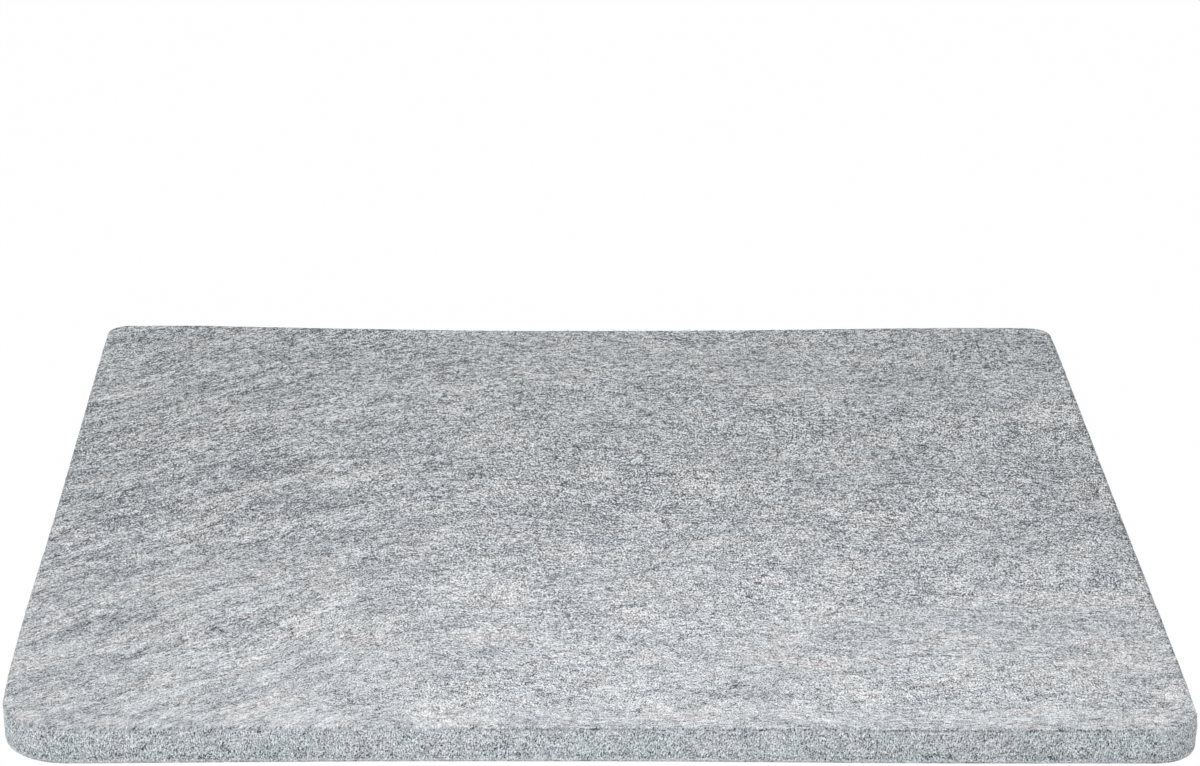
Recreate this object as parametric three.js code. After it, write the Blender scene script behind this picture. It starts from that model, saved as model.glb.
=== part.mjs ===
import * as THREE from 'three';

// A pressing pad for ironing on a table: one thick slab of heathered grey wool felt, die-cut from
// needled and pressed sheet, with rounded corners and soft cut edges. It has no cover, binding or
// backing, so both of its large faces can be pressed on.
// Millimetres, +Z up. The origin is the middle of the underside, and -Y is the user's side.

// Driving dimensions
const PAD_WIDTH = 432;
const PAD_DEPTH = 432;
const FELT_THICKNESS = 14;

// Plan radius of each corner: the pad is trimmed rounder along the user's side than at the back
const FRONT_LEFT_RADIUS = 26;
const FRONT_RIGHT_RADIUS = 17;
const BACK_RIGHT_RADIUS = 9;
const BACK_LEFT_RADIUS = 9;

// How far the cut edge rolls over into each large face
const EDGE_ROUND = 1.5;

// Steps along half of a corner's arc, and across the rolled edge
const CORNER_HALF_STEPS = 8;
const EDGE_STEPS = 5;

// Colour and surface of the felt
const FELT_COLOUR = 0xb8bbbd;
const FELT_ROUGHNESS = 0.95;
const FELT_METALNESS = 0;

const QUARTER_TURN = Math.PI / 2;

// The pad's plan: straight sides joined by a quarter arc at each corner, anticlockwise from above.
function padOutline() {
	const right = PAD_WIDTH / 2;
	const back = PAD_DEPTH / 2;
	const corners = [
		{ x: right - BACK_RIGHT_RADIUS, y: back - BACK_RIGHT_RADIUS, radius: BACK_RIGHT_RADIUS },
		{ x: BACK_LEFT_RADIUS - right, y: back - BACK_LEFT_RADIUS, radius: BACK_LEFT_RADIUS },
		{ x: FRONT_LEFT_RADIUS - right, y: FRONT_LEFT_RADIUS - back, radius: FRONT_LEFT_RADIUS },
		{ x: right - FRONT_RIGHT_RADIUS, y: FRONT_RIGHT_RADIUS - back, radius: FRONT_RIGHT_RADIUS },
	];
	const outline = new THREE.Shape();
	corners.forEach(({ x, y, radius }, turn) => {
		const start = turn * QUARTER_TURN;
		outline.absarc(x, y, radius, start, start + QUARTER_TURN, false);
	});
	outline.closePath();
	return outline;
}

// The slab: the plan raised through the felt's thickness. The rolled edges lie inside the plan, so
// that the sides stand at the pad's full width and depth between them.
function feltSlabGeometry() {
	const geometry = new THREE.ExtrudeGeometry(padOutline(), {
		depth: FELT_THICKNESS - 2 * EDGE_ROUND,
		curveSegments: CORNER_HALF_STEPS,
		steps: 1,
		bevelEnabled: true,
		bevelThickness: EDGE_ROUND,
		bevelSize: EDGE_ROUND,
		bevelOffset: - EDGE_ROUND,
		bevelSegments: EDGE_STEPS,
	});
	return geometry;
}

const felt = new THREE.MeshStandardMaterial({
	name: 'grey_wool_felt',
	color: FELT_COLOUR,
	roughness: FELT_ROUGHNESS,
	metalness: FELT_METALNESS,
});

const feltSlab = new THREE.Mesh(feltSlabGeometry(), felt);
feltSlab.name = 'wool_felt_slab';
feltSlab.position.z = EDGE_ROUND;

const ironingPad = new THREE.Group();
ironingPad.name = 'ironing_pad';
ironingPad.add(feltSlab);

export default ironingPad;
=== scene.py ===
# %% [markdown]
# # A wool felt ironing pad
#
# The pad is one thick slab of heathered grey wool felt, and nothing else: no cover, no binding and no
# backing. It lies on a table and is ironed on. Pale and dark wool are carded together, laid up as a
# thick web, needled, steamed and pressed, and the pad is then die-cut out of the sheet. So all of its
# looks are in the felt: the heather of the two wools, the drift of the grain, the loose fibres on the
# pressed faces and the cropped fibre ends on the cut edge.
#
# The packed model is loaded first. It is the pad at its real size, in metres, and every size below is
# read from it or is a small size of the felt itself.

# %% Load the packed model
import math
import random

import bmesh
import bpy
from mathutils import Euler, Matrix, Vector, noise


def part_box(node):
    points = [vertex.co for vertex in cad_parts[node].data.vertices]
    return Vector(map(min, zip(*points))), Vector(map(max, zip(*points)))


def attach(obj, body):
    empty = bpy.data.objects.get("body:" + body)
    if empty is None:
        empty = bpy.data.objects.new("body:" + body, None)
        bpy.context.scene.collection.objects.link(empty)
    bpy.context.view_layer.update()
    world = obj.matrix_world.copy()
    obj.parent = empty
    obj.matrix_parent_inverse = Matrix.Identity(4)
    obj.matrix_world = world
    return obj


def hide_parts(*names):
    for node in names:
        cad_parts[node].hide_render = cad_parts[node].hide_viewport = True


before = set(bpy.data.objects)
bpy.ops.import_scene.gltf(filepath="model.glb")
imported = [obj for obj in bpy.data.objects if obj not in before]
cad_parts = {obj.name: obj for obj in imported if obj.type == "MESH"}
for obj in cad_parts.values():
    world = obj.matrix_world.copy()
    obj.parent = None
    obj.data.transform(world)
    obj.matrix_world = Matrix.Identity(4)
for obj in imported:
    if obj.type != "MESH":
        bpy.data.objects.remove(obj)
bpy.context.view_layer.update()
SLAB_NODE = "wool_felt_slab"
SLAB_BODY = "root"
MM = 0.001
slab_low, slab_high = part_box(SLAB_NODE)
PAD_WIDTH, PAD_DEPTH, FELT_THICKNESS = slab_high - slab_low
print("pad", [round(side / MM, 1) for side in (PAD_WIDTH, PAD_DEPTH, FELT_THICKNESS)], "mm")

# %% [markdown]
# ## The camera
#
# The photograph was taken from the front with a long lens, about 20 degrees above the table and turned
# a degree and a half to the right. A long lens keeps the far side of the pad nearly as wide as the near
# one, so the distance matters as much as the angle. The camera is given by its place, measured from the
# middle of the pad's underside, and by its turn, its pitch and a slight roll, which together put the
# corners of the pad within a pixel or two of where the photograph has them.

# %% Place the camera
IMAGE_WIDTH = 1200
SENSOR_WIDTH_MM = 36.0
FOCAL_PIXELS = 3899.5
CAMERA_PLACE = Vector((-33.6, -1476.5, 604.9)) * MM
CAMERA_PITCH = math.radians(20.051)
CAMERA_TURN = math.radians(1.451)
CAMERA_ROLL = math.radians(0.642)


def photograph_camera():
    lens = bpy.data.cameras.new("photograph_camera")
    lens.sensor_width = SENSOR_WIDTH_MM
    lens.lens = FOCAL_PIXELS * SENSOR_WIDTH_MM / IMAGE_WIDTH
    camera = bpy.data.objects.new("photograph_camera", lens)
    aim = Euler((math.pi / 2 - CAMERA_PITCH, 0, -CAMERA_TURN)).to_matrix()
    camera.matrix_world = Matrix.Translation(CAMERA_PLACE) @ (
        aim @ Matrix.Rotation(CAMERA_ROLL, 3, "Z")
    ).to_4x4()
    bpy.context.scene.collection.objects.link(camera)
    bpy.context.scene.camera = camera
    return camera


camera = photograph_camera()
print("camera lens", round(camera.data.lens, 1), "mm")

# %% [markdown]
# ## Writing shader sums as Python
#
# Felt needs many noise patterns added, multiplied and mixed. In the node editor that is a wide tangle
# of Math nodes. Here a small class wraps one output of a node, and Python's own operators add the Math
# nodes, so that a pattern reads like the sum it is. Every other kind of node comes from one method,
# which sets the node's choices first and then its sockets.


# %% A shader value with operators
class Shade:
    """One output of a shader node. Python's operators on it add Math nodes."""

    def __init__(self, dye, socket):
        self.dye = dye
        self.socket = socket

    def sum(self, operation, *others):
        sockets = dict(enumerate([self, *others]))
        return self.dye.node("ShaderNodeMath", sockets, operation=operation)

    def __add__(self, other):
        return self.sum("ADD", other)

    def __sub__(self, other):
        return self.sum("SUBTRACT", other)

    def __rsub__(self, other):
        return self.dye.node("ShaderNodeMath", {0: other, 1: self}, operation="SUBTRACT")

    def __mul__(self, other):
        return self.sum("MULTIPLY", other)

    # The order doesn't matter in a sum or a product.
    __radd__ = __add__
    __rmul__ = __mul__


# %% One node tree, and the method that adds its nodes
class Dye:
    """The node tree of one material, or of the world, which its patterns are mixed in."""

    def __init__(self, name, world=False):
        self.owner = (bpy.data.worlds if world else bpy.data.materials).new(name)
        self.owner.use_nodes = True
        self.tree = self.owner.node_tree
        self.tree.nodes.clear()

    def node(self, kind, sockets=(), output=0, **settings):
        """Adds a node: its settings first, then the values or links of its sockets."""
        made = self.tree.nodes.new(kind)
        for name, value in settings.items():
            setattr(made, name, value)
        for name, value in dict(sockets).items():
            self.fill(self.socket(made.inputs, name), value)
        return Shade(self, self.socket(made.outputs, output))

    def socket(self, sockets, name):
        """One of a node's sockets, by its number, its identifier or its name."""
        if isinstance(name, int):
            return sockets[name]
        return next(s for s in sockets if name in (s.identifier, s.name))

    def fill(self, socket, value):
        """Links a shade to a socket, or writes a plain value there."""
        if isinstance(value, Shade):
            self.tree.links.new(value.socket, socket)
        else:
            socket.default_value = value

    def mix(self, share, first, second):
        """A colour between two, by a share from 0 to 1."""
        sockets = {"Factor_Float": share, "A_Color": first, "B_Color": second}
        return self.node("ShaderNodeMix", sockets, output="Result_Color", data_type="RGBA")

    def ease(self, value, start, end):
        """0 below start, 1 above end, and a smooth rise between them."""
        sockets = {"Value": value, "From Min": start, "From Max": end}
        return self.node("ShaderNodeMapRange", sockets, interpolation_type="SMOOTHSTEP")

    def finish(self, shader, kind="ShaderNodeOutputMaterial"):
        """Joins the shader to the tree's output."""
        output = self.tree.nodes.new(kind)
        self.tree.links.new(shader.socket, output.inputs["Surface"])


print("shader sums ready, with", len([name for name in vars(Dye) if name[0] != "_"]), "methods")

# %% [markdown]
# ## The slab's outline
#
# The pad is a square with rounded corners, trimmed rounder on the user's side. The straight sides of
# the packed model stop one corner radius short of the corner, so each radius is read there. The cut
# leaves the upper edge a little rounded and the face below it leaning in by about a millimetre, because
# thick felt is squeezed while the knife goes through it and springs back afterwards.
#
# A cube is brought to the pad's size and its four upright edges are bevelled, each by its own radius.
# Then the rims of the two pressed faces are bevelled too. With a profile of 0.5 a bevel is a round arc.

# %% Corner radii from the packed model
TOUCHING = 0.01 * MM
RIM_STEP = 1.0 * MM
UPPER_ROUND = 1.5 * MM
LOWER_ROUND = 1.2 * MM
UPPER_ROUND_STEPS = 4
LOWER_ROUND_STEPS = 3


def side(axis, sign):
    """Where the slab ends along an axis, on its plus or its minus side."""
    return slab_high[axis] if sign > 0 else slab_low[axis]


def corner_radius(sign_x, sign_y):
    """How far the straight front or back side stops short of this corner."""
    points = [v.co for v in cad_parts[SLAB_NODE].data.vertices]
    straight = [p for p in points if abs(p.y - side(1, sign_y)) < TOUCHING]
    return min(abs(p.x - side(0, sign_x)) for p in straight)


corners = {(x, y): corner_radius(x, y) for x in (-1, 1) for y in (-1, 1)}
print("corner radii", {c: round(r / MM, 1) for c, r in corners.items()}, "mm")


# %% A blank with rounded corners and rims
def rounded(mesh, edges, radius, steps):
    bmesh.ops.bevel(
        mesh,
        geom=edges,
        offset=radius,
        offset_type="OFFSET",
        segments=steps,
        profile=0.5,
        affect="EDGES",
        material=-1,
        clamp_overlap=False,
    )


def edges_where(mesh, test):
    return [e for e in mesh.edges if all(test(v.co) for v in e.verts)]


def slab_blank():
    mesh = bmesh.new()
    bmesh.ops.create_cube(mesh, size=1.0)
    bmesh.ops.scale(mesh, vec=slab_high - slab_low, verts=mesh.verts)
    bmesh.ops.translate(mesh, vec=(slab_high + slab_low) / 2, verts=mesh.verts)
    for (sign_x, sign_y), radius in corners.items():
        corner = Vector((side(0, sign_x), side(1, sign_y)))
        upright = edges_where(mesh, lambda p: (p.xy - corner).length < TOUCHING)
        rounded(mesh, upright, radius, round(radius * math.pi / 2 / RIM_STEP))
    for height, radius, steps in (
        (slab_high.z, UPPER_ROUND, UPPER_ROUND_STEPS),
        (slab_low.z, LOWER_ROUND, LOWER_ROUND_STEPS),
    ):
        rim = edges_where(mesh, lambda p: abs(p.z - height) < TOUCHING)
        rounded(mesh, rim, radius, steps)
    return mesh


slab = slab_blank()
print("blank", len(slab.verts), "vertices")

# %% [markdown]
# ## A net fine enough to shape
#
# The blank has only long faces, and relief needs points to move. The cut edge is what shows most, so
# its faces are split about every millimetre, along and across. The two pressed faces are almost flat,
# so a coarser grid is laid in each: the single large face is taken out, a grid is set in its place a
# little inside the rim, and the ring between the two is filled with triangles. The mesh stays closed.

# %% Split the cut edge
EDGE_ROWS = 12
LONG_SIDE_SHARE = 0.5


def split_cut_edge(mesh):
    long_sides = [e for e in mesh.edges if e.calc_length() > LONG_SIDE_SHARE * PAD_WIDTH]
    columns = round(long_sides[0].calc_length() / RIM_STEP)
    bmesh.ops.subdivide_edges(mesh, edges=long_sides, cuts=columns - 1)
    tall = FELT_THICKNESS - UPPER_ROUND - LOWER_ROUND
    uprights = [
        e for e in mesh.edges if abs(e.verts[0].co.z - e.verts[1].co.z) > tall - TOUCHING
    ]
    bmesh.ops.subdivide_edges(mesh, edges=uprights, cuts=EDGE_ROWS - 1)


split_cut_edge(slab)
print("cut edge", len(slab.faces), "faces")

# %% Lay a grid in each pressed face
FACE_CELL = 3.0 * MM
GRID_MARGIN = 3.5 * MM


def nearest_corner(point):
    """The radius of the nearest corner, its signs, and how far a point lies past its middle."""
    signs = (1 if point.x > 0 else -1, 1 if point.y > 0 else -1)
    radius = corners[signs]
    past_x = abs(point.x) - (PAD_WIDTH / 2 - radius)
    past_y = abs(point.y) - (PAD_DEPTH / 2 - radius)
    return radius, signs, past_x, past_y


def distance_inside(point):
    """How far a point of the plan lies inside the pad's outline."""
    radius, _, past_x, past_y = nearest_corner(point)
    if past_x > 0 and past_y > 0:
        return radius - math.hypot(past_x, past_y)
    return radius - max(past_x, past_y)


def lay_grid(mesh, face):
    height = face.calc_center_median().z
    facing = face.normal.copy()
    rim = list(face.edges)
    bmesh.ops.delete(mesh, geom=[face], context="FACES_ONLY")
    cells = round(PAD_WIDTH / FACE_CELL)
    grid = bmesh.ops.create_grid(mesh, x_segments=cells, y_segments=cells, size=PAD_WIDTH / 2)
    bmesh.ops.translate(mesh, vec=(0, 0, height), verts=grid["verts"])
    outside = [v for v in grid["verts"] if distance_inside(v.co) < GRID_MARGIN]
    kept = set(grid["verts"]) - set(outside)
    bmesh.ops.delete(mesh, geom=outside, context="VERTS")
    loose = {e for v in kept for e in v.link_edges if len(e.link_faces) == 1}
    ring = rim + sorted(loose, key=lambda e: (*e.verts[0].co, *e.verts[1].co))
    bmesh.ops.triangle_fill(mesh, edges=ring, use_beauty=True, normal=facing)


for face in sorted(slab.faces, key=lambda f: len(f.verts))[-2:]:
    lay_grid(slab, face)
bmesh.ops.recalc_face_normals(slab, faces=slab.faces)
open_edges = [e for e in slab.edges if len(e.link_faces) != 2]
print("slab", len(slab.faces), "faces,", len(open_edges), "open edges")

# %% [markdown]
# ## Relief
#
# Real felt is never quite flat or straight. The pressed faces swell and sink by a fraction of a
# millimetre over a hand's width, the back edge waves by a millimetre, the trimmed front edge bows a
# little, and the cut face is lumpy where the knife pulled at tufts. A displacement modifier could do
# the lumps, but not the rest, so each point is moved by small functions of its place. They are used
# again for the loose fibres, which then lie on the moved felt. All noise is read at the point's place,
# so the same felt comes out every time. The points of the underside never sink below the table.

# %% A smooth step, and noise that depends on the place
RELIEF_SEED = {"swell": 3.1, "dimple": 7.7, "tuft": 1.9}


def ease(value, start, end):
    """0 at the start, 1 at the end, and a smooth rise between them."""
    share = min(max((value - start) / (end - start), 0.0), 1.0)
    return share * share * (3 - 2 * share)


def felt_noise(point, span, kind):
    seed = RELIEF_SEED[kind]
    return noise.noise(point / span + Vector((seed, -seed, seed / 2)))


def level_of(point):
    """0 at the underside and 1 at the upper face."""
    return (point.z - slab_low.z) / FELT_THICKNESS


print("smooth step at a quarter", ease(0.25, 0, 1))


# %% Which way is out of the felt
CORNER_FULL_RADIUS = 20 * MM
CORNER_FADE = 25 * MM
CORNER_ENDS_SHARE = 0.4


def plan_outward(point):
    """The direction in the plan from the pad's body out through its nearest side."""
    _, (sign_x, sign_y), past_x, past_y = nearest_corner(point)
    if past_x > 0 and past_y > 0:
        return Vector((past_x * sign_x, past_y * sign_y, 0)).normalized()
    return Vector((sign_x, 0, 0)) if past_x > past_y else Vector((0, sign_y, 0))


def corner_share(point):
    """1 in the middle of a wide corner's bend, fading to 0 along the straight sides."""
    radius, _, past_x, past_y = nearest_corner(point)
    outward = plan_outward(point)
    bend = 2 * abs(outward.x * outward.y)
    share = CORNER_ENDS_SHARE + (1 - CORNER_ENDS_SHARE) * bend
    fade = 1 - ease(-min(past_x, past_y), 0, CORNER_FADE)
    return share * fade * min(radius / CORNER_FULL_RADIUS, 1.0)


front_left = Vector((slab_low.x, slab_low.y, 0))
print("share of the front left corner", round(corner_share(front_left), 2))

# %% [markdown]
# The knife leaves the foot of the cut face a little further in than its upper rim. At the two wide
# corners in front the upper rim is rounder and softer than along the straight sides, and the face
# under the left one is tucked in.

# %% How far in the cut face stands
CUT_LEAN = 0.7 * MM
CORNER_SOFT = 1.6 * MM
CORNER_SOFT_DEPTH = 5.0 * MM
LEFT_TUCK = 0.9 * MM
LEFT_TUCK_DEPTH = 3.0 * MM
LEFT_TUCK_REACH = 120 * MM


def inward(point):
    """How far the cut face stands in from a straight cut."""
    below = slab_high.z - point.z
    lean = CUT_LEAN * (1 - level_of(point))
    near_top = max(0.0, 1 - below / CORNER_SOFT_DEPTH)
    facing_left = max(0.0, -plan_outward(point).x)
    near_front = 1 - ease(point.y, slab_low.y, slab_low.y + LEFT_TUCK_REACH)
    tuck = LEFT_TUCK * facing_left * near_front * ease(below, 0, LEFT_TUCK_DEPTH)
    return lean + tuck + CORNER_SOFT * near_top * near_top * corner_share(point)


print("foot of the cut face", round(inward(front_left) / MM, 2), "mm in")

# %% How far the upper face lifts
SWELL_HEIGHT = 0.35 * MM
SWELL_SUNK_SHARE = 0.5
SWELL_SPAN = 85 * MM
DIMPLE_HEIGHT = 0.16 * MM
DIMPLE_SPAN = 13 * MM
BACK_LIFT = 1.1 * MM
BACK_SAG_AT = -8 * MM
BACK_WAVE = 400 * MM


def lift(point):
    """How far the felt stands up at a point, most at the upper face."""
    swell = SWELL_HEIGHT * (felt_noise(point, SWELL_SPAN, "swell") - SWELL_SUNK_SHARE)
    dimple = DIMPLE_HEIGHT * felt_noise(point, DIMPLE_SPAN, "dimple")
    wave = -math.cos(math.tau * (point.x - BACK_SAG_AT) / BACK_WAVE)
    wave *= ease(point.y, 0, slab_high.y)
    near_rim = max(0.0, 1 - distance_inside(point) / CORNER_SOFT_DEPTH)
    drop = CORNER_SOFT / 2 * near_rim * near_rim * corner_share(point)
    return (swell + dimple + wave * BACK_LIFT - drop) * level_of(point)


back_right = Vector((slab_high.x - CORNER_SOFT_DEPTH, slab_high.y - CORNER_SOFT_DEPTH, slab_high.z))
print("back right corner lifts", round(lift(back_right) / MM, 2), "mm")

# %% How the front and left edges wander
FRONT_HOLLOW = 0.55 * MM
FRONT_RIGHT_OUT = 1.7 * MM
RIGHT_OUT_FULL_SHARE = 0.65
FRONT_LEFT_OUT = 2.0 * MM
LEFT_OUT_FROM_SHARE = 0.3
LEFT_OUT_LOST_AT_TOP = 0.76
EDGE_REACH = 60 * MM
LEFT_BULGE = 0.5 * MM
BULGE_STARTS = (-200 * MM, -120 * MM)
BULGE_ENDS = (-110 * MM, -20 * MM)


def bow(point):
    """How far the front and left edges wander from straight lines."""
    near_front = 1 - ease(point.y, slab_low.y, slab_low.y + EDGE_REACH)
    near_left = 1 - ease(point.x, slab_low.x, slab_low.x + EDGE_REACH)
    right_out = FRONT_RIGHT_OUT * ease(point.x, 0, RIGHT_OUT_FULL_SHARE * slab_high.x)
    left_out = FRONT_LEFT_OUT * ease(-point.x, LEFT_OUT_FROM_SHARE * slab_high.x, slab_high.x)
    left_out *= 1 - LEFT_OUT_LOST_AT_TOP * level_of(point)
    bulge = LEFT_BULGE * (ease(point.y, *BULGE_STARTS) - ease(point.y, *BULGE_ENDS))
    return Vector((-bulge * near_left, (FRONT_HOLLOW - right_out - left_out) * near_front, 0))


print("front left corner bows out", round(-bow(front_left).y / MM, 2), "mm at its foot")

# %% [markdown]
# The wool's pattern has to know which points are cut edge and which are pressed face. After the relief
# the height of a point no longer says so, because a swelling of half a millimetre is as deep as the
# fold between the two. So each point's height and its distance in from the outline are stored in the
# mesh as attributes before it moves.

# %% Move the points
TUFT_HEIGHT = 0.16 * MM
TUFT_SPAN = 3.2 * MM
RIM_REACH = 2 * UPPER_ROUND


def shape_point(vertex):
    place = vertex.co.copy()
    rim_share = max(0.0, 1 - distance_inside(place) / RIM_REACH)
    tuft = TUFT_HEIGHT * felt_noise(place, TUFT_SPAN, "tuft")
    out = (tuft - inward(place)) * rim_share
    vertex.co += plan_outward(place) * out + bow(place) + Vector((0, 0, lift(place)))
    vertex.co.z = max(vertex.co.z, slab_low.z)


rest_height = slab.verts.layers.float.new("rest_height")
rest_inset = slab.verts.layers.float.new("rest_inset")
for vertex in slab.verts:
    vertex[rest_height] = vertex.co.z / MM
    vertex[rest_inset] = distance_inside(vertex.co) / MM
    shape_point(vertex)
for face in slab.faces:
    face.smooth = True
heights = [v.co.z for v in slab.verts]
print("relief from", round(min(heights) / MM, 2), "to", round(max(heights) / MM, 2), "mm")

# %% [markdown]
# ## The piece
#
# The shaped mesh becomes one object, which takes the place of the plain slab of the packed model. Felt
# is soft all the way through and fills its outline.


# %% The finished slab as a piece
def piece_of(data):
    """An object at the origin that shows a mesh and has its name."""
    piece = bpy.data.objects.new(data.name, data)
    bpy.context.scene.collection.objects.link(piece)
    return piece


def piece_from(mesh, name):
    """A piece made of a bmesh, which is freed."""
    data = bpy.data.meshes.new(name)
    mesh.to_mesh(data)
    mesh.free()
    return piece_of(data)


felt_slab = piece_from(slab, "felt_slab")
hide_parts(SLAB_NODE)
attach(felt_slab, SLAB_BODY)
print("piece", felt_slab.name, len(felt_slab.data.polygons), "faces")

# %% [markdown]
# ## The patterns of carded wool
#
# The felt's colour is mixed from many patterns, each in millimetres on the pad. Blots are plain noise,
# stretched along the grain, and stand for tufts that were not fully blended. Strokes are thin lines
# where a noise crosses its middle value, which curl and end like single fibres. An image of felt would
# be quicker, but it repeats and blurs, while noise stays sharp at any size and covers the cut edge too.
#
# The place on the pad is bent first, so that all patterns follow the drift of the web: level over most
# of the pad, and on the left climbing away from the user towards the middle.
#
# Noise is built on a lattice of cubes. A flat face that lies along the lattice cuts some of its layers
# in the middle and others at their border, where the noise is faint, and that shows as broad bands. So
# the place is turned about the cubes' long diagonal before it is read, and no face lies along a layer.
#
# The whole number in the call of a pattern is its seed. It moves the place, so that each pattern reads
# another part of the same endless noise.

# %% Blots and strokes
GRAIN_BEND_AT = -70.0
GRAIN_BEND_WIDTH = 60.0
GRAIN_RISE = 0.78
GRAIN_DRIFT = 24.0
GRAIN_DRIFT_SPAN = 75.0
SEED_STEP = (13.7, -7.3, 3.9)
LATTICE_AXIS = (1.0, 1.0, 1.0)
LATTICE_TURN = math.radians(60)
NOISE_MEAN = 0.5
STROKE_MEAN = 1.7


class FeltDye(Dye):
    """A dye with the patterns that a web of carded wool is made of, sized in millimetres."""

    def pad_place(self):
        """The place on the pad in millimetres, whole and as its three parts."""
        place = self.node("ShaderNodeTexCoord", output="Object")
        sockets = {0: place, 1: (1 / MM,) * 3}
        place = self.node("ShaderNodeVectorMath", sockets, operation="MULTIPLY")
        parts = self.node("ShaderNodeSeparateXYZ", {0: place}).socket.node.outputs
        return place, *(Shade(self, part) for part in parts)

    def grain_place(self, place, x, y, z):
        """The place bent so that its X runs along the grain."""
        sockets = {0: x - GRAIN_BEND_AT, 1: 0.0, 2: GRAIN_BEND_WIDTH}
        left = self.node("ShaderNodeMath", sockets, operation="SMOOTH_MIN")
        drift = self.blots(place, (GRAIN_DRIFT_SPAN,) * 3, 11) * GRAIN_DRIFT
        return self.node("ShaderNodeCombineXYZ", {0: x, 1: y - left * GRAIN_RISE + drift, 2: z})

    def blots(self, place, size, seed, turn=0.0):
        """Soft spots about as large as the size, from about -0.3 to 0.3."""
        sockets = {
            "Vector": place,
            "Location": tuple(seed * step for step in SEED_STEP),
            "Rotation": (0, 0, turn),
            "Scale": size,
        }
        at = self.node("ShaderNodeMapping", sockets, vector_type="TEXTURE")
        sockets = {"Vector": at, "Axis": LATTICE_AXIS, "Angle": LATTICE_TURN}
        at = self.node("ShaderNodeVectorRotate", sockets)
        sockets = {"Vector": at, "Scale": 1.0, "Detail": 0.0}
        return self.node("ShaderNodeTexNoise", sockets, output="Fac") - NOISE_MEAN

    def strokes(self, place, size, seed, thin, turn=0.0):
        """Curling lines, 1 in their middle and 0 between them."""
        rise = 1.0 - self.blots(place, size, seed, turn=turn).sum("ABSOLUTE") * thin
        return rise.sum("MAXIMUM", 0.0)

    def blend(self, at, seed, blots, strokes=()):
        """Adds up weighted patterns. Each has its middle taken out, so that the sum stays around 0."""
        total = 0.0
        for weight, size, turn in blots:
            seed += 1
            total = self.blots(at, size, seed, turn=turn) * weight + total
        for weight, size, turn, thin in strokes:
            seed += 1
            line = self.strokes(at, size, seed, thin, turn=turn)
            total = (line - STROKE_MEAN / thin) * weight + total
        return total


print("noise turned by", round(math.degrees(LATTICE_TURN)), "degrees")

# %% [markdown]
# ## Where each pattern belongs
#
# The two pressed faces and the cut edge look different: a pressed face shows fibres that lie flat, and
# the cut shows their cropped ends. The masks below are 1 where something holds and 0 where it doesn't.
# `cut` starts a ragged millimetre below the rim, read from the stored height. `combed` is the left part
# of the pad, where the streaks are longer and clearer. `far` and `back` grow with the distance from the
# user's side, and `front_rim` is a strip along it.

# %% Places and masks
felt = FeltDye("grey_wool_felt")
place, x, y, z = felt.pad_place()
grain = felt.grain_place(place, x, y, z)
height = felt.node("ShaderNodeAttribute", output="Fac", attribute_name="rest_height")
inset = felt.node("ShaderNodeAttribute", output="Fac", attribute_name="rest_inset")
depth = height.sum("MINIMUM", FELT_THICKNESS / MM - height)

RAGGED_SIZE = (2.2, 2.2, 1.6)
RAGGED_REACH = 1.2
CUT_STARTS = (0.2, 1.7)
FRONT = slab_low.y / MM
BACK = slab_high.y / MM
RIGHT = slab_high.x / MM
COMBED_ENDS = (GRAIN_BEND_AT - 50.0, GRAIN_BEND_AT + 30.0)
BACK_STARTS = (60.0, 160.0)
FRONT_RIM_ENDS = (FRONT + 9.0, FRONT + 26.0)
cut = felt.ease(depth + felt.blots(place, RAGGED_SIZE, 21) * RAGGED_REACH, *CUT_STARTS)
combed = 1.0 - felt.ease(x, *COMBED_ENDS)
far = felt.ease(y, FRONT, BACK)
back = felt.ease(y, *BACK_STARTS)
front_rim = 1.0 - felt.ease(y, *FRONT_RIM_ENDS)
print("masks ready,", len(felt.tree.nodes), "nodes")

# %% [markdown]
# ## The pressed faces
#
# Each row of a table is one pattern: its weight, its size along and across the grain and down into the
# felt, and its turn from the grain. The heaviest is the finest, only half a millimetre wide, because
# pale and dark fibres lie side by side and hardly blend. The longer rows are tufts and wisps of one
# wool. Away from the user's side and the combed left part the specks are a little bolder.

# %% The finest specks of the pressed faces
FINE_BLOTS = (
    (5.80, (0.5, 0.8, 0.6), 0.0),
    (0.35, (0.8, 1.6, 0.8), 0.0),
    (0.35, (0.6, 2.0, 0.8), 0.7),
    (0.35, (0.6, 2.0, 0.8), -0.7),
)
FAR_BLOTS = (
    (1.40, (0.6, 1.3, 0.8), 0.0),
    (1.40, (2.4, 0.9, 0.8), 0.0),
    (0.60, (0.6, 2.0, 0.8), 0.7),
    (0.60, (0.6, 2.0, 0.8), -0.7),
)
AWAY_BLOTS = ((2.60, (0.6, 1.0, 0.7), 0.0),)
AWAY_STARTS = (-190.0, 0.0)
AWAY_LOST_AT_BACK = 0.6
AWAY_LOST_COMBED = 0.4
FINE_SHARE = 0.68
FINE_MORE_AWAY = 0.14
FINE_LOST_AT_RIM = 0.2
FINE_LOST_COMBED = 0.15
away = felt.ease(y, *AWAY_STARTS)
away = away * (1.0 - back * AWAY_LOST_AT_BACK) * (1.0 - combed * AWAY_LOST_COMBED)
fine_share = (1.0 - combed * FINE_LOST_COMBED) * (
    FINE_SHARE + away * FINE_MORE_AWAY - front_rim * FINE_LOST_AT_RIM
)
specks = felt.blend(grain, 1, FINE_BLOTS) * fine_share
specks = specks + felt.blend(grain, 81, FAR_BLOTS) * far
specks = specks + felt.blend(grain, 94, AWAY_BLOTS) * away
print("specks of", len(FINE_BLOTS + FAR_BLOTS + AWAY_BLOTS), "sizes")

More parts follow.
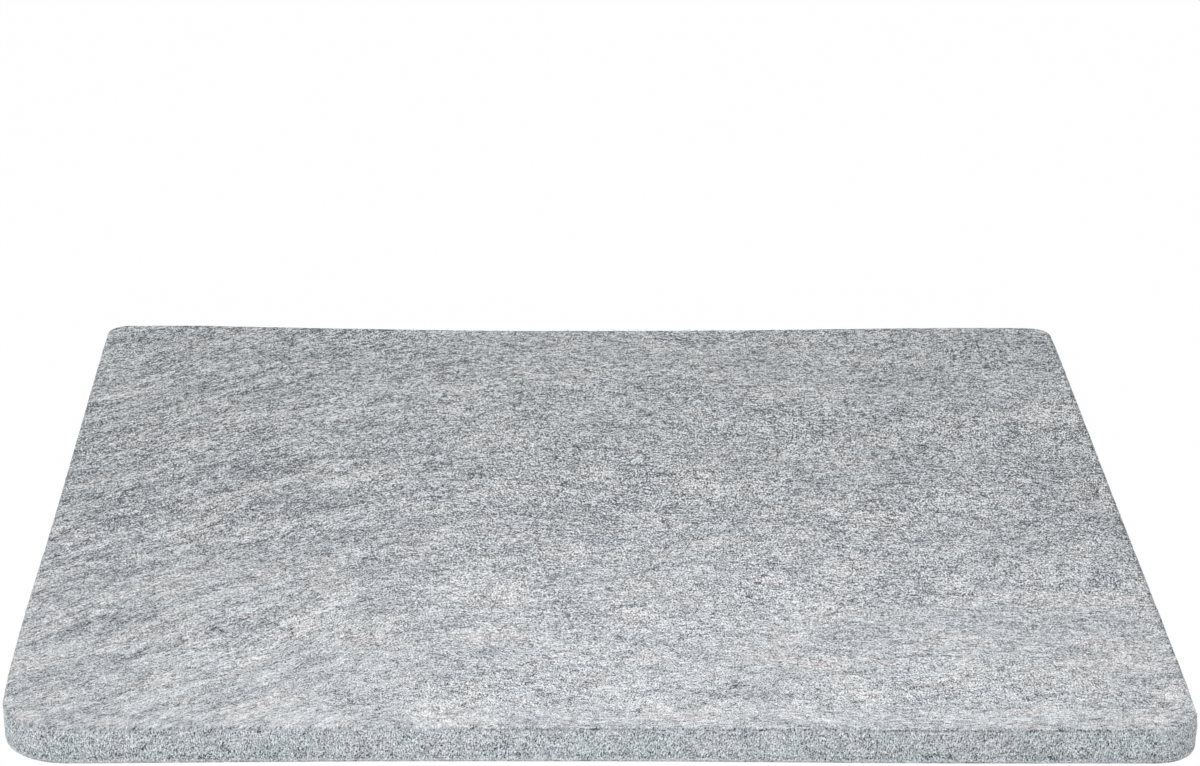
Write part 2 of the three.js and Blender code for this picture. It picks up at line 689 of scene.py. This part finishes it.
# %% Tufts and wisps along the grain
COMBED_BLOTS = (
    (0.80, (2.4, 0.7, 0.8), 0.0),
    (0.80, (2.4, 0.7, 0.8), 0.25),
    (0.20, (8.0, 1.8, 2.0), 0.1),
    (0.55, (26.0, 9.0, 9.0), 0.0),
)
PRESSED_BLOTS = (
    (0.55, (3.2, 1.2, 0.8), 0.0),
    (0.40, (6.0, 1.6, 1.5), 0.0),
    (0.20, (4.0, 4.0, 4.0), 0.0),
    (0.26, (6.0, 3.0, 4.0), 0.0),
    (0.30, (10.0, 5.0, 8.0), 0.0),
    (0.38, (20.0, 7.0, 9.0), 0.0),
)
PRESSED_STROKES = (
    (-0.36, (5.0, 2.2, 3.0), 0.0, 7.0),
    (0.24, (5.0, 2.2, 3.0), -0.3, 8.0),
    (-0.26, (9.0, 3.2, 3.0), 0.12, 9.0),
)
wisps = felt.blend(grain, 71, COMBED_BLOTS) * combed
wisps = wisps + felt.blend(grain, 5, PRESSED_BLOTS, PRESSED_STROKES)
print("wisps up to", max(size[0] for _, size, _ in COMBED_BLOTS), "mm long")

# %% [markdown]
# Two more things are seen on a pressed face. Broad tufts, a finger wide, are a shade paler or darker,
# and here and there a short dark fibre lies on the others. The patterns get bolder away from the user,
# and a little calmer again at the back. Light and shade are painted in as well: a strip along the front
# edge is a little paler, a painted highlight on the rim, with a slightly darker painted shade at the rim
# itself, where it rounds away, and a broad band across the middle of the pad is painted shade.

# %% Mix the pressed faces
TUFT_SIZE = (9.0, 9.0, 9.0)
TUFT_SHARE = 0.45
BROAD_TUFT_SIZE = (26.0, 22.0, 9.0)
TUFT_WEIGHT = 0.34
DASH_SIZE = (5.0, 1.6, 3.0)
DASH_THIN = 15.0
DASH_BREAK_SIZE = (4.0, 4.0, 3.0)
DASH_BREAKS = (-0.02, 0.14)
DASH_MEAN = 0.04
DASH_WEIGHT = 0.6
BOLD_AT_FRONT = 0.71
BOLDER_FAR = 0.60
CALMER_AT_BACK = 0.12
RIM_PAINTED_LIGHT = 0.08
RIM_PAINTED_SHADE = 0.10
LAST_STRIP_ENDS = (FRONT + 2.0, FRONT + 9.0)
MIDDLE_STARTS = (-130.0, 20.0)
MIDDLE_ENDS = (30.0, 130.0)
MIDDLE_PAINTED_SHADE = 0.09
tuft = felt.blots(grain, TUFT_SIZE, 61) * TUFT_SHARE + felt.blots(grain, BROAD_TUFT_SIZE, 62)
broken = felt.ease(felt.blots(grain, DASH_BREAK_SIZE, 63), *DASH_BREAKS)
dash = felt.strokes(grain, DASH_SIZE, 64, DASH_THIN) * broken
pressed = specks + wisps + tuft * TUFT_WEIGHT - (dash - DASH_MEAN) * DASH_WEIGHT
pressed = pressed * (far * BOLDER_FAR + BOLD_AT_FRONT - back * CALMER_AT_BACK)
# Painted shade in the last strip at the rim, where the upper face rounds away from the light.
rim_shade_strip = 1.0 - felt.ease(y, *LAST_STRIP_ENDS)
# The broad band across the middle is painted shade.
middle = felt.ease(y, *MIDDLE_STARTS) - felt.ease(y, *MIDDLE_ENDS)
# The paler strip along the front edge is a painted highlight, and the two darker terms are painted
# shade.
pressed = pressed + front_rim * RIM_PAINTED_LIGHT - rim_shade_strip * RIM_PAINTED_SHADE - middle * MIDDLE_PAINTED_SHADE
print("pressed faces mixed,", len(felt.tree.nodes), "nodes")

# %% [markdown]
# ## The cut edge
#
# A cut fibre shows as a dot and not as a line, so the edge's patterns are finer, about half a
# millimetre, and mostly upright. They follow the plain place and not the grain. The foot of the edge
# is paler, a painted light bounced up from the table where it turns under, with a band of painted
# shade above it.

# %% Mix the cut edge
CUT_BLOTS = (
    (2.40, (0.5, 0.5, 0.5), 0.0),
    (1.90, (0.45, 0.45, 0.9), 0.0),
    (0.80, (0.4, 0.4, 1.6), 0.0),
    (0.26, (3.0, 3.0, 2.0), 0.0),
    (0.22, (5.0, 5.0, 30.0), 0.0),
    (0.20, (6.0, 6.0, 6.0), 0.0),
)
CUT_STROKES = (
    (-0.20, (8.0, 4.0, 4.0), 0.0, 14.0),
    (0.22, (14.0, 14.0, 1.4), 0.0, 14.0),
)
CUT_CONTRAST = 0.92
CUT_PALER = 0.01
FOOT_ENDS = (0.6, 2.0)
FOOT_PAINTED_LIGHT = 0.40
BAND_STARTS = (1.4, 2.4)
BAND_ENDS = (3.0, 4.4)
BAND_PAINTED_SHADE = 0.10
# The paler foot is painted light bounced from the table, and the band above it is painted shade.
foot = 1.0 - felt.ease(height, *FOOT_ENDS)
shade_band = felt.ease(height, *BAND_STARTS) - felt.ease(height, *BAND_ENDS)
sheared = felt.blend(place, 31, CUT_BLOTS, CUT_STROKES) * CUT_CONTRAST
sheared = sheared + CUT_PALER + foot * FOOT_PAINTED_LIGHT - shade_band * BAND_PAINTED_SHADE
print("cut edge mixed,", len(felt.tree.nodes), "nodes")

# %% [markdown]
# ## The rims
#
# Where the upper face turns into the cut, a thin line of painted shade darkens the fold, and it comes
# and goes along the front. The rims on the far sides turn away from the light and are a shade darker.

# %% Paint shade into the fold and the far rims
FOLD_STARTS = (0.1, 0.4)
FOLD_ENDS = (0.8, 1.2)
FOLD_ABOVE = (9.0, 11.0)
FOLD_LOST_AT = (165.0, 205.0)
FOLD_LOST_SHARE = 0.85
FOLD_SHADE_SIZE = (40.0, 40.0, 40.0)
FOLD_SHADE_WEIGHT = 0.5
FOLD_SHADE_TO_RIGHT = (-120.0, 60.0)
FOLD_SHADE_AT_RIGHT = 0.14
FOLD_SHADE_MEAN = 0.12
# The fold's dark line is painted shade under the rim. Its strength wanders along the front and fades
# towards the sides.
fold_shade = felt.ease(depth, *FOLD_STARTS) - felt.ease(depth, *FOLD_ENDS)
fold_shade = fold_shade * felt.ease(height, *FOLD_ABOVE)
fold_shade_strength = felt.blots(place, FOLD_SHADE_SIZE, 91) * FOLD_SHADE_WEIGHT
fold_shade_strength = fold_shade_strength + felt.ease(x, *FOLD_SHADE_TO_RIGHT) * FOLD_SHADE_AT_RIGHT + FOLD_SHADE_MEAN
fold_shade_strength = fold_shade_strength * (1.0 - felt.ease(x.sum("ABSOLUTE"), *FOLD_LOST_AT) * FOLD_LOST_SHARE)

FAR_RIM_STARTS = (BACK - 11.0, BACK - 4.0)
RIGHT_RIM_STARTS = (RIGHT - 11.0, RIGHT - 4.0)
RIGHT_RIM_FROM = (-190.0, -150.0)
FAR_RIM_WIDTH = (0.8, 2.8)
FAR_RIM_ABOVE = (12.6, 13.4)
FAR_RIM_DARKER = 0.32
turned_right = felt.ease(x, *RIGHT_RIM_STARTS) * felt.ease(y, *RIGHT_RIM_FROM)
turned_away = felt.ease(y, *FAR_RIM_STARTS).sum("MAXIMUM", turned_right)
far_rim = (1.0 - felt.ease(inset, *FAR_RIM_WIDTH)) * turned_away * felt.ease(height, *FAR_RIM_ABOVE)
tone = pressed + (sheared - pressed) * cut - fold_shade * fold_shade_strength - far_rim * FAR_RIM_DARKER
print("tone mixed,", len(felt.tree.nodes), "nodes")

# %% [markdown]
# ## From tone to colour
#
# All of the above is one number, the share of pale wool at a point. It is turned into colour last, by a
# mix between dark wool and pale wool. The pale wool isn't one colour, but cool in some places and a
# little warmer in others. Pale and dark are far apart, since the eye and the render average the fine
# specks to a middle grey.

# %% Mix the two wools
DARK_WOOL = (0.022, 0.032, 0.040, 1)
PALE_COOL = (0.822, 0.872, 0.904, 1)
PALE_WARM = (0.890, 0.885, 0.897, 1)
CUT_COOL = (0.825, 0.906, 0.946, 1)
CUT_WARM = (0.866, 0.913, 0.950, 1)
TINT_SIZE = (15.0, 9.0, 20.0)
TINT_WEIGHT = 0.7
TINT_RANGE = (-0.12, 0.42)
TINT_LOST_FAR = 0.6
WARM_SHARE_FAR = 0.2
CUT_TINT_SIZE = (14.0, 14.0, 8.0)
CUT_TINT_SMALL = (4.0, 4.0, 3.0)
CUT_TINT_SMALL_WEIGHT = 0.8
CUT_TINT_RANGE = (-0.2, 0.2)
TONE_GAIN = 0.56
TONE_MIDDLE = 0.5
tint = felt.ease(felt.blots(grain, TINT_SIZE, 17) * TINT_WEIGHT + tuft, *TINT_RANGE)
tint = tint * (1.0 - far * TINT_LOST_FAR) + far * WARM_SHARE_FAR
cut_tint = felt.blots(place, CUT_TINT_SIZE, 19)
cut_tint = cut_tint + felt.blots(place, CUT_TINT_SMALL, 20) * CUT_TINT_SMALL_WEIGHT
cut_tint = felt.ease(cut_tint, *CUT_TINT_RANGE)
pressed_pale = felt.mix(tint, PALE_COOL, PALE_WARM)
cut_pale = felt.mix(cut_tint, CUT_COOL, CUT_WARM)
pale = felt.mix(cut, pressed_pale, cut_pale)
share = (tone * TONE_GAIN + TONE_MIDDLE).sum("MAXIMUM", 0.0).sum("MINIMUM", 1.0)
wool_colour = felt.mix(share, DARK_WOOL, pale)
print("wool colour mixed,", len(felt.tree.nodes), "nodes")

# %% [markdown]
# Wool is rough and hardly shines. A little sheen stands for the fine hairs that catch light along the
# surface, and a bump of a third of a millimetre for the fibres themselves, which are too many to model.

# %% The felt's surface
NAP_SIZE = (0.9, 1.4, 0.9)
NAP_LINE_SIZE = (4.0, 4.0, 3.0)
NAP_LINE_THIN = 12.0
NAP_LINE_WEIGHT = 0.3
NAP_HEIGHT = 0.3 * MM
NAP_STRENGTH = 0.85
nap = felt.blots(grain, NAP_SIZE, 51)
nap = nap + felt.strokes(grain, NAP_LINE_SIZE, 52, NAP_LINE_THIN) * NAP_LINE_WEIGHT
sockets = {"Strength": NAP_STRENGTH, "Distance": NAP_HEIGHT, "Height": nap}
surface = felt.node("ShaderNodeBsdfPrincipled", {
    "Base Color": wool_colour,
    "Roughness": 0.95,
    "Specular IOR Level": 0.2,
    "Sheen Weight": 0.15,
    "Sheen Roughness": 0.5,
    "Normal": felt.node("ShaderNodeBump", sockets),
})
felt.finish(surface)
felt_slab.data.materials.append(felt.owner)
print("felt", len(felt.tree.nodes), "nodes")

# %% [markdown]
# ## Loose fibres
#
# Thousands of fibres have come loose and lie on the felt, dark and pale, and they are what makes it
# look soft close up. Blender's hair could make them, but hair isn't a mesh, and every piece here has
# to be one. So one straight rod with three sides is made with operators, and copies of it are laid
# along paths. Three sides are enough for a fibre a tenth of a millimetre thick, and keep a piece light.
# Both ends of each rod are closed. The shade of each fibre is stored in the mesh, so that one material
# serves them all.

# %% A straight rod to lay along paths
FIBRE_SIDES = 3


def straight_rod(steps):
    """A closed rod of radius 1 that stands on the origin, with a ring of points at each whole height."""
    rod = bmesh.new()
    bmesh.ops.create_cone(
        rod, cap_ends=True, segments=FIBRE_SIDES, radius1=1.0, radius2=1.0, depth=steps
    )
    bmesh.ops.translate(rod, vec=(0, 0, steps / 2), verts=rod.verts)
    uprights = [e for e in rod.edges if abs(e.verts[0].co.z - e.verts[1].co.z) > steps / 2]
    bmesh.ops.subdivide_edges(rod, edges=uprights, cuts=steps - 1)
    bmesh.ops.recalc_face_normals(rod, faces=rod.faces)
    rod.verts.index_update()
    points = [v.co.copy() for v in rod.verts]
    faces = [tuple(v.index for v in f.verts) for f in rod.faces]
    rod.free()
    return points, faces


print("a rod of 5 steps has", len(straight_rod(5)[1]), "faces")


# %% Many fibres as one piece
FIBRE_SEED = 417


def path_turn(path, number):
    """The turn that points a rod's length along the path here."""
    ahead = path[min(number + 1, len(path) - 1)] - path[max(number - 1, 0)]
    return ahead.to_track_quat("Z", "Y").to_matrix()


def fibre_piece(name, fibres):
    """One piece from many fibres, each a path, a radius and a shade of wool."""
    rod_points, rod_faces = straight_rod(len(fibres[0][0]) - 1)
    points = []
    faces = []
    shades = []
    for path, radius, shade in fibres:
        turns = [path_turn(path, number) for number in range(len(path))]
        faces += [tuple(len(points) + index for index in face) for face in rod_faces]
        for co in rod_points:
            number = round(co.z)
            points.append(path[number] + turns[number] @ Vector((co.x, co.y, 0)) * radius)
        shades += [shade] * len(rod_points)
    data = bpy.data.meshes.new(name)
    data.from_pydata(points, [], faces)
    data.attributes.new("wool", "FLOAT", "POINT").data.foreach_set("value", shades)
    data.shade_smooth()
    piece = piece_of(data)
    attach(piece, SLAB_BODY)
    return piece


chance = random.Random(FIBRE_SEED)
print("fibres are drawn by chance from seed", FIBRE_SEED)

# %% [markdown]
# On the upper face a fibre leaves the felt, runs near the grain with a bend of its own and goes back
# in. Both of its ends are below the surface, so none floats. The bend of the grain is the same sum as
# in the material, worked out in Python, and only its slow drift is left out.

# %% The way the grain runs
GRAIN_STEP = 1.0


def smooth_low(value, limit, width):
    """The smaller of a value and a limit, with a rounded change between them."""
    share = max(width - abs(value - limit), 0.0) / width
    return min(value, limit) - share * share * share * width / 6


def grain_heading(point):
    """The way the grain runs here, as an angle from +X."""
    x_here = point.x / MM - GRAIN_BEND_AT
    here = smooth_low(x_here, 0.0, GRAIN_BEND_WIDTH)
    a_little_on = smooth_low(x_here + GRAIN_STEP, 0.0, GRAIN_BEND_WIDTH)
    return math.atan((a_little_on - here) / GRAIN_STEP * GRAIN_RISE)


print("grain at the left side", round(math.degrees(grain_heading(slab_low))), "degrees")

# %% Surface fibres
SURFACE_STEPS = 5
SURFACE_ROOT = 0.06 * MM
SURFACE_SPREAD = 0.8
SURFACE_CURL = 0.45
SURFACE_WANDER = 0.25
SURFACE_LENGTH = (2.5 * MM, 7.0 * MM)
SURFACE_HEIGHT = (0.02 * MM, 0.16 * MM)
SURFACE_RADIUS = (0.06 * MM, 0.11 * MM)
DARK_COUNT = 3900
DARK_SHADES = (0.0, 0.12)
PALE_COUNT = 3300
PALE_SHADES = (0.8, 1.0)


def surface_start(length):
    """A place on the upper face from which a fibre can't reach the rim."""
    while True:
        point = Vector((
            chance.uniform(slab_low.x, slab_high.x),
            chance.uniform(slab_low.y, slab_high.y),
            slab_high.z,
        ))
        if distance_inside(point) > length:
            return point


def surface_fibre(length, height):
    point = surface_start(length)
    heading = grain_heading(point) + chance.gauss(0, SURFACE_SPREAD)
    curl = chance.gauss(0, SURFACE_CURL)
    path = []
    for number in range(SURFACE_STEPS + 1):
        rise = height * math.sin(math.pi * number / SURFACE_STEPS) - SURFACE_ROOT
        inside = min(distance_inside(point), UPPER_ROUND)
        drop = UPPER_ROUND - math.sqrt(max(0.0, UPPER_ROUND ** 2 - (UPPER_ROUND - inside) ** 2))
        path.append(point + bow(point) + Vector((0, 0, lift(point) + rise - drop)))
        heading += curl + chance.gauss(0, SURFACE_WANDER)
        point = point + Vector((math.cos(heading), math.sin(heading), 0)) * length / SURFACE_STEPS
    return path


def surface_fibres(count, shades):
    fibres = []
    for _ in range(count):
        length = chance.uniform(*SURFACE_LENGTH)
        height = chance.uniform(*SURFACE_HEIGHT)
        radius = chance.uniform(*SURFACE_RADIUS)
        shade = chance.uniform(*shades)
        fibres.append((surface_fibre(length, height), radius, shade))
    return fibres


dark_fibres = fibre_piece("dark_surface_fibres", surface_fibres(DARK_COUNT, DARK_SHADES))
pale_fibres = fibre_piece("pale_surface_fibres", surface_fibres(PALE_COUNT, PALE_SHADES))
print("surface fibres", len(dark_fibres.data.polygons), len(pale_fibres.data.polygons), "faces")

# %% [markdown]
# On the cut edge the fibres are short ends that cling to the face. A start is picked anywhere along the
# four sides and moved onto the cut face as it now stands, lean and bow included. From there the fibre
# is kept from turning outward, because loose hairs that stood out would show as a fringe on white.

# %% A place on the cut edge
EDGE_STEPS = 3
EDGE_GAP = 0.6 * MM


def edge_point():
    """A point on the cut edge and the way out of the felt there."""
    along = chance.uniform(-0.5, 0.5)
    side_number = chance.randrange(4)
    sign = 1 if side_number < 2 else -1
    square = (along * PAD_WIDTH, sign * PAD_DEPTH / 2)
    if side_number % 2:
        square = (sign * PAD_WIDTH / 2, along * PAD_DEPTH)
    point = Vector((*square, chance.uniform(slab_low.z + EDGE_GAP, slab_high.z - EDGE_GAP)))
    outward = plan_outward(point)
    beyond = -distance_inside(point)
    top_gap = max(0.0, UPPER_ROUND - (slab_high.z - point.z))
    rounding = UPPER_ROUND - math.sqrt(UPPER_ROUND ** 2 - top_gap ** 2)
    return point + bow(point) - outward * (beyond + inward(point) + rounding), outward


print("edge fibres keep", EDGE_GAP / MM, "mm from both faces")

# %% Edge fibres
EDGE_ROOT = 0.1 * MM
EDGE_OUT = 0.05
EDGE_SLANT = 0.8
EDGE_CLIMB = 0.9
EDGE_WANDER = 0.3
EDGE_LENGTH = (0.7 * MM, 1.9 * MM)
EDGE_RADIUS = (0.04 * MM, 0.08 * MM)
EDGE_COUNT = 7500
EDGE_DARK_SHADES = (0.0, 0.3)
EDGE_PALE_SHADES = (0.7, 1.0)


def edge_fibre(length):
    point, outward = edge_point()
    along = Vector((-outward.y, outward.x, 0))
    slant = along * chance.gauss(0, EDGE_SLANT)
    heading = outward * EDGE_OUT + slant + Vector((0, 0, chance.gauss(0, EDGE_CLIMB)))
    heading.normalize()
    path = [point - outward * EDGE_ROOT]
    for number in range(EDGE_STEPS):
        heading += Vector([chance.gauss(0, EDGE_WANDER) for _ in range(3)])
        heading -= outward * (heading.dot(outward) + EDGE_OUT * number)
        heading.normalize()
        point = path[-1] + heading * length / EDGE_STEPS
        point.z = min(max(point.z, slab_low.z + EDGE_GAP), slab_high.z - EDGE_GAP)
        path.append(point)
    return path


edge_list = []
for _ in range(EDGE_COUNT):
    length = chance.uniform(*EDGE_LENGTH)
    shades = (chance.uniform(*EDGE_DARK_SHADES), chance.uniform(*EDGE_PALE_SHADES))
    shade = chance.choice(shades)
    edge_list.append((edge_fibre(length), chance.uniform(*EDGE_RADIUS), shade))
edge_fibres = fibre_piece("cut_edge_fibres", edge_list)
print("edge fibres", len(edge_fibres.data.polygons), "faces")

# %% Dye the fibres
DARK_FIBRE = (0.070, 0.078, 0.086, 1)
PALE_FIBRE = (0.93, 0.95, 0.96, 1)
loose_wool = FeltDye("loose_wool")
shade = loose_wool.node("ShaderNodeAttribute", output="Fac", attribute_name="wool")
surface = loose_wool.node("ShaderNodeBsdfPrincipled", {
    "Base Color": loose_wool.mix(shade, DARK_FIBRE, PALE_FIBRE),
    "Roughness": 0.8,
    "Specular IOR Level": 0.25,
})
loose_wool.finish(surface)
for piece in (dark_fibres, pale_fibres, edge_fibres):
    piece.data.materials.append(loose_wool.owner)
print("loose wool", len(loose_wool.tree.nodes), "nodes")

# %% [markdown]
# ## A white ground
#
# The pad is shown on white. More light would only bleach the felt, so the white comes from the
# materials: Light Path tells what the camera sees from what lights the object. Seen directly, the sky
# and the floor are plain white. For the light that they give the pad, the sky is a dimmer grey and the
# floor is ordinary paper. A last hundredth of the floor stays paper for the camera too, and that keeps
# the pad's soft shadow.

# %% What the camera sees directly
scene = bpy.context.scene
scene.view_settings.view_transform = "Standard"
WHITE = (1, 1, 1, 1)


def seen_directly(dye):
    """1 where the camera sees a surface, straight or in a gloss, and 0 for the light that it gives."""
    rays = dye.node("ShaderNodeLightPath").socket.node.outputs
    names = ("Is Camera Ray", "Is Glossy Ray", "Is Transmission Ray")
    camera_ray, glossy_ray, clear_ray = [Shade(dye, rays[name]) for name in names]
    return camera_ray.sum("MAXIMUM", glossy_ray).sum("MAXIMUM", clear_ray)


print("view", scene.view_settings.view_transform)

# %% The sky
SKY_LEVEL = 0.70
sky = Dye("studio_sky", world=True)
scene.world = sky.owner
strength = SKY_LEVEL + seen_directly(sky) * (1.0 - SKY_LEVEL)
glow = sky.node("ShaderNodeBackground", {"Color": WHITE, "Strength": strength})
sky.finish(glow, "ShaderNodeOutputWorld")
print("sky", scene.world.name)

# %% The floor
FLOOR_SIZE = 12.0
PAPER = (0.85, 0.85, 0.85, 1)
WHITE_SHARE = 0.99
floor_mesh = bmesh.new()
bmesh.ops.create_grid(floor_mesh, x_segments=1, y_segments=1, size=FLOOR_SIZE / 2)
floor = piece_from(floor_mesh, "floor")
paper = Dye("white_paper")
lit = paper.node("ShaderNodeBsdfDiffuse", {"Color": PAPER})
plain = paper.node("ShaderNodeEmission", {"Color": WHITE, "Strength": 1.0})
whitened = {0: seen_directly(paper) * WHITE_SHARE, 1: lit, 2: plain}
paper.finish(paper.node("ShaderNodeMixShader", whitened))
floor.data.materials.append(paper.owner)
print("floor", FLOOR_SIZE, "m across")

# %% [markdown]
# ## The lamps
#
# The sky gives an even light from everywhere, which would leave the felt flat. One square softbox hangs
# over the pad's front, a little warmer than the sky. The front of the pad is nearest to it, so the
# light falls off gently towards the back. A weak one stands low on the left, so that the cut edge
# around the left corner isn't left in shade. It skims over the upper face and hardly lights it.

# %% Two softboxes
PAD_MIDDLE = Vector((0, 0, 0))
LAMP_COLOUR = (1.0, 0.958, 0.955)
FRONT_BOX_PLACE = Vector((0.02, -0.30, 0.42))
FRONT_BOX_SIZE = 0.28
FRONT_BOX_WATTS = 1.34
LEFT_BOX_PLACE = Vector((-0.55, -0.29, 0.06))
LEFT_BOX_SIZE = 0.12
LEFT_BOX_WATTS = 0.34


def softbox(name, place, aim, size, watts):
    """A square lamp that faces what it aims at. The camera doesn't see it."""
    light = bpy.data.lights.new(name, "AREA")
    light.shape = "SQUARE"
    light.size = size
    light.energy = watts
    light.color = LAMP_COLOUR
    lamp = bpy.data.objects.new(name, light)
    lamp.location = place
    lamp.rotation_euler = (aim - place).to_track_quat("-Z", "Y").to_euler()
    lamp.visible_camera = False
    scene.collection.objects.link(lamp)


softbox("front_softbox", FRONT_BOX_PLACE, PAD_MIDDLE, FRONT_BOX_SIZE, FRONT_BOX_WATTS)
softbox("left_softbox", LEFT_BOX_PLACE, front_left, LEFT_BOX_SIZE, LEFT_BOX_WATTS)
print("front softbox", round((FRONT_BOX_PLACE - PAD_MIDDLE).length, 2), "m from the pad's middle")

# %% [markdown]
# ## The end
#
# The relief and the loose fibres may reach past the plain slab by a millimetre or two.

# %% Finish
print("scene finished")
